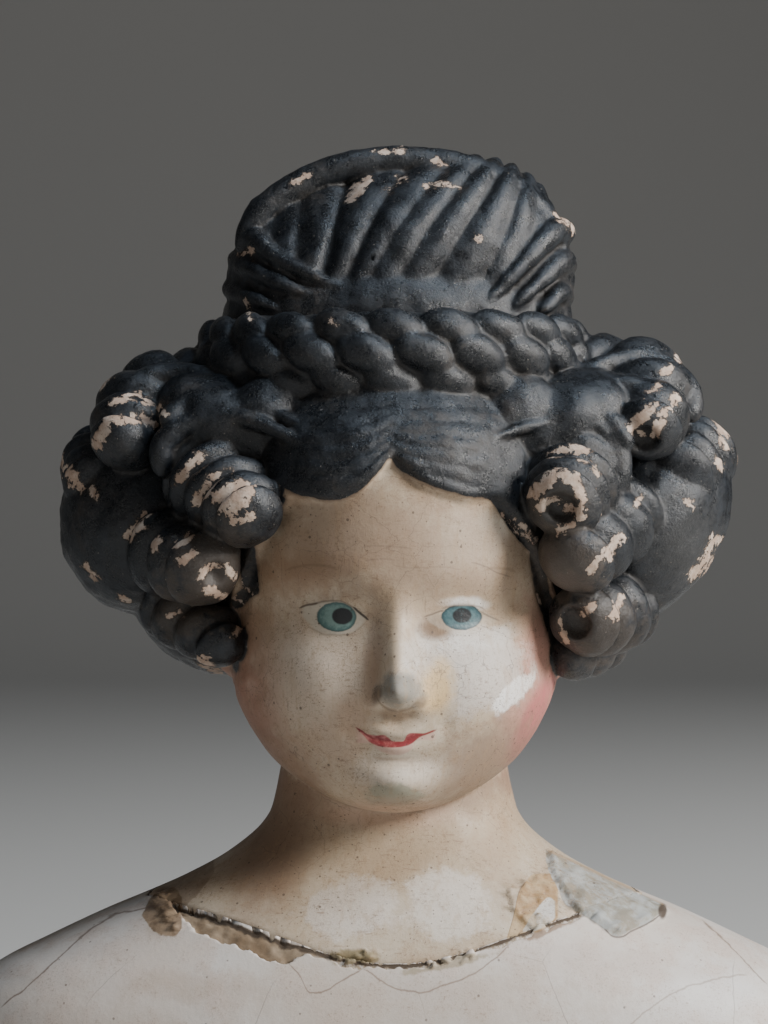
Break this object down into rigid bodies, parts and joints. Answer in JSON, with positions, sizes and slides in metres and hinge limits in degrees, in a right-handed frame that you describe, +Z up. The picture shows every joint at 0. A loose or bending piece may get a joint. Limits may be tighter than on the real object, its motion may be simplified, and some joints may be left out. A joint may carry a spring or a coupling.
{
  "type": "papier-mache doll bust",
  "caption": "Papier-mache doll's shoulder head with moulded black hair, set in a painted torso cut flat below.",
  "frame": {"origin": "middle of the underside", "axes": "+Z up, -Y the way the face looks, +X towards the viewer's right"},
  "size_m": [0.208, 0.0994, 0.217],
  "materials": {
    "head_paint": "worn oil paint over gesso on papier-mache: warm flesh, stained and rubbed, with the moulded hair in glossy near-black that is chipped to the pinkish gesso on its high places",
    "torso_paint": "pale pinkish-grey paint over gesso, matt, with fine cracks, brown glue and a raised strip along the joint"
  },
  "bodies": {
    "root": {"head": "head_paint", "torso": "torso_paint"}
  },
  "joints": []
}
